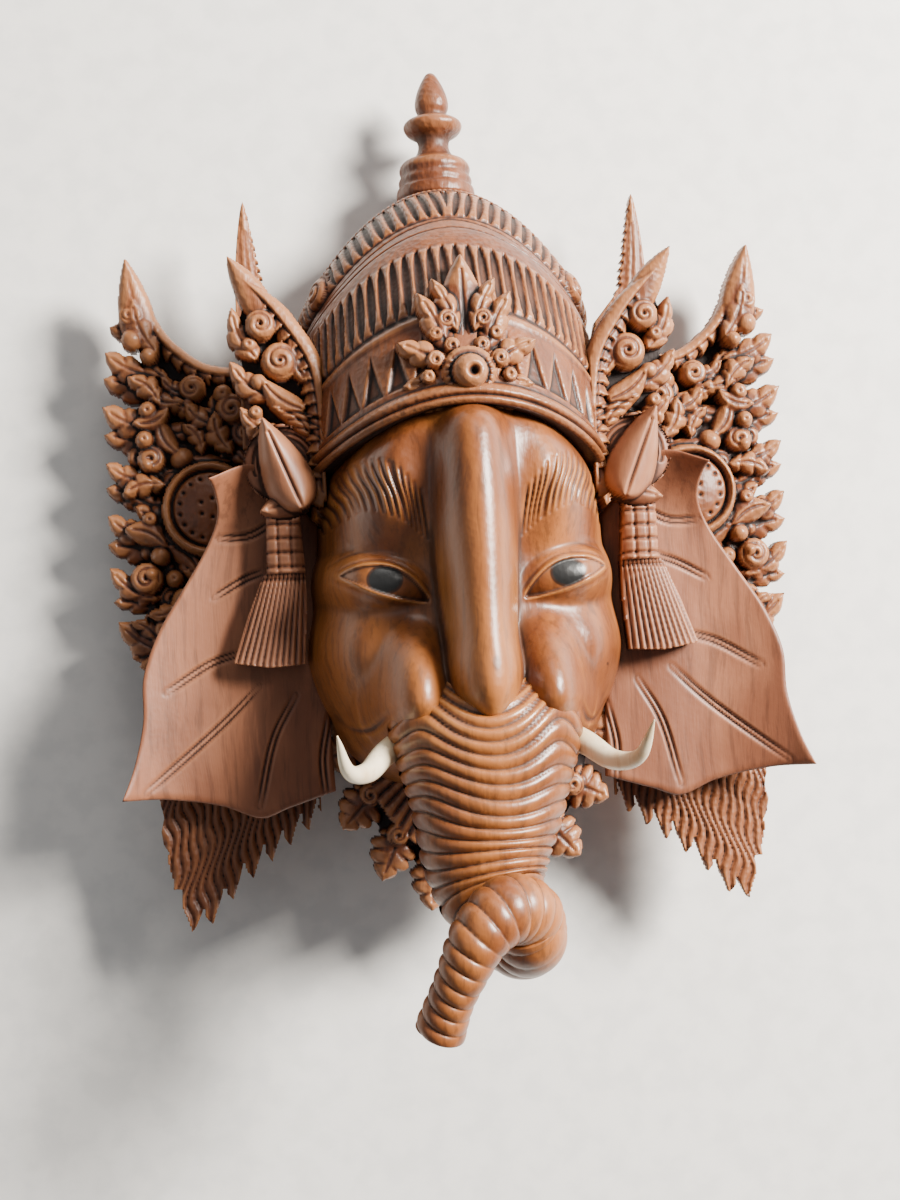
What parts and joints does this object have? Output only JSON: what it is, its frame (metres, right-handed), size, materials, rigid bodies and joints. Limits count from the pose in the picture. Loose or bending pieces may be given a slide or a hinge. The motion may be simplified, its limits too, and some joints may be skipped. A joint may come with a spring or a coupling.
{
  "type": "carved wooden elephant mask",
  "caption": "Carved wooden mask of an elephant-headed deity with leaf-carved crown, broad ears, ringed trunk and bone tusks.",
  "frame": {"origin": "middle of the bounding box at the plane of the back rim that the mask lies on", "axes": "+Z out of the face, +Y towards the tip of the crown, +X towards the viewer's right"},
  "size_m": [0.3616, 0.4824, 0.209],
  "materials": {
    "carved_wood": "polished brown, darker in the recesses",
    "bone": "polished cream bone"
  },
  "bodies": {
    "root": {"mask": "carved_wood", "tusk_left": "bone", "tusk_right": "bone"}
  },
  "joints": []
}
